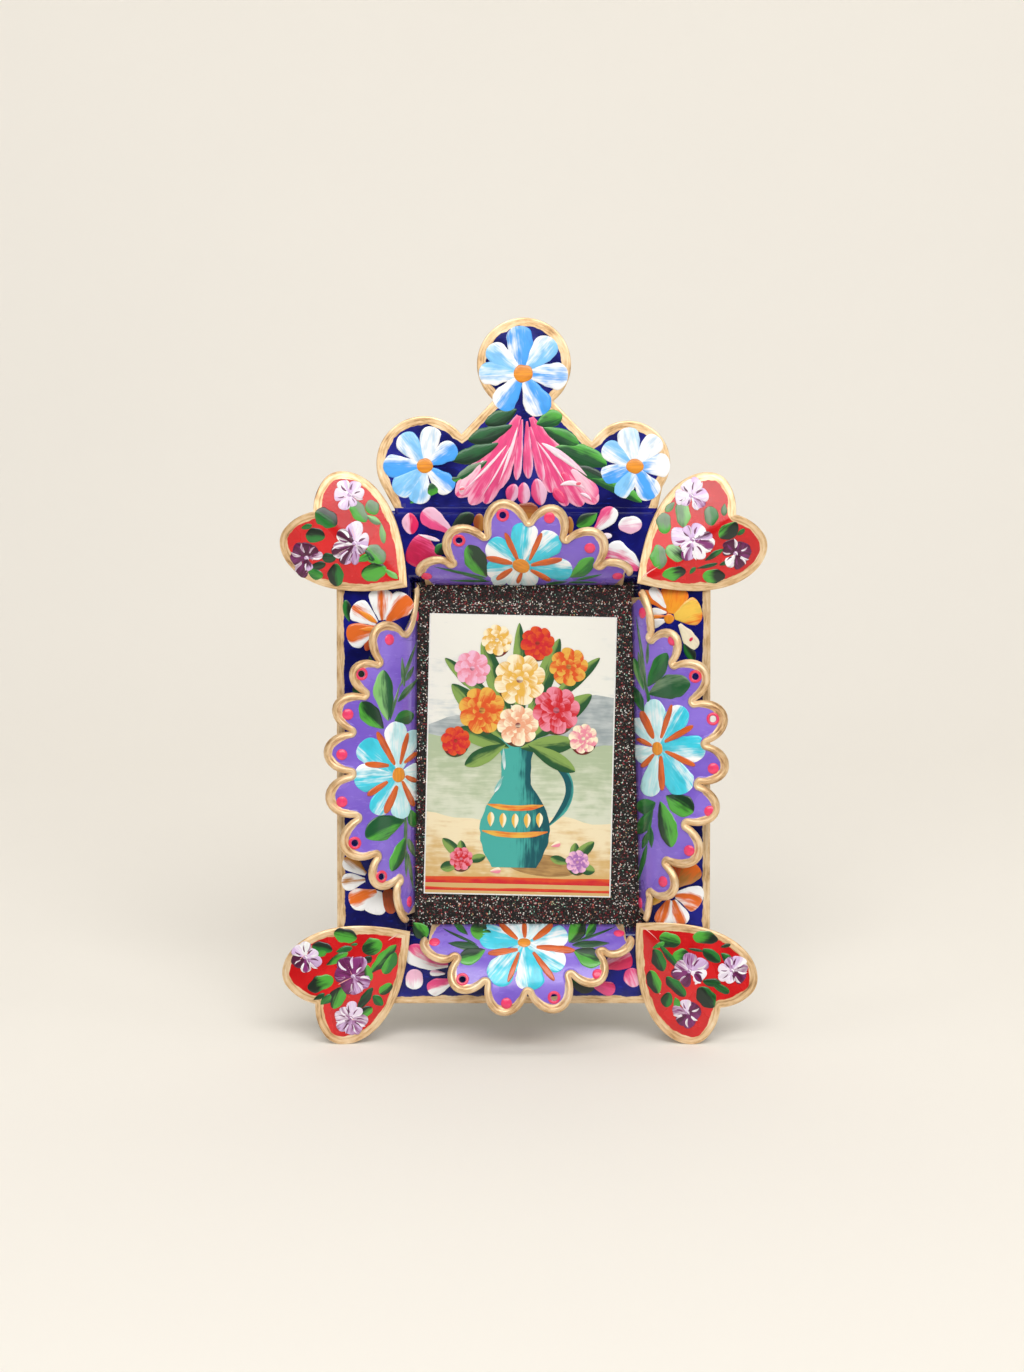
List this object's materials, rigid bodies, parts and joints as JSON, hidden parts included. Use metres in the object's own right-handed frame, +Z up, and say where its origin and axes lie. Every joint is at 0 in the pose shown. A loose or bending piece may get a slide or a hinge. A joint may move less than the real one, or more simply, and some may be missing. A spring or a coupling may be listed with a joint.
{
  "type": "floral picture frame",
  "caption": "Standing tin picture frame with a glitter-backed window, curled scalloped fans along each side, a lobed crest, corner hearts and a folding rear leg.",
  "frame": {"origin": "middle of the whole object's outline seen from above, on the surface it stands on", "axes": "+Z up, -Y towards the viewer, +X to the viewer's right; the frame itself leans back 8 degrees"},
  "size_m": [0.1314, 0.0786, 0.1941],
  "materials": {
    "cobalt_enamel": "gloss enamel",
    "lavender_enamel": "gloss enamel",
    "red_enamel": "gloss enamel",
    "glitter_board": "glitter",
    "glossy_card": "glossy print",
    "brown_card": "matte",
    "bare_tin": "satin",
    "bright_wire": "satin"
  },
  "bodies": {
    "frame": {"border_frame": "cobalt_enamel", "crest": "cobalt_enamel", "fan_left": "lavender_enamel", "fan_right": "lavender_enamel", "fan_top": "lavender_enamel", "fan_bottom": "lavender_enamel", "heart_upper_left": "red_enamel", "heart_upper_right": "red_enamel", "heart_lower_left": "red_enamel", "heart_lower_right": "red_enamel", "glitter_board": "glitter_board", "picture_card": "glossy_card", "backing_card": "brown_card", "back_cover": "bare_tin", "tab_top_left": "bare_tin", "tab_top_right": "bare_tin", "tab_left": "bare_tin", "tab_right": "bare_tin", "tab_bottom_left": "bare_tin", "tab_bottom_right": "bare_tin", "hinge_plate": "bare_tin", "hinge_pin": "bare_tin", "hanging_loop": "bright_wire"},
    "leg": {"easel_leg": "bare_tin"}
  },
  "joints": [
    {"name": "leg_hinge", "type": "hinge", "parent": "frame", "child": "leg", "pos_m": [0.00002, -0.00101, 0.11618], "axis": [1, 0, 0], "range_deg": [-24, 0]}
  ]
}
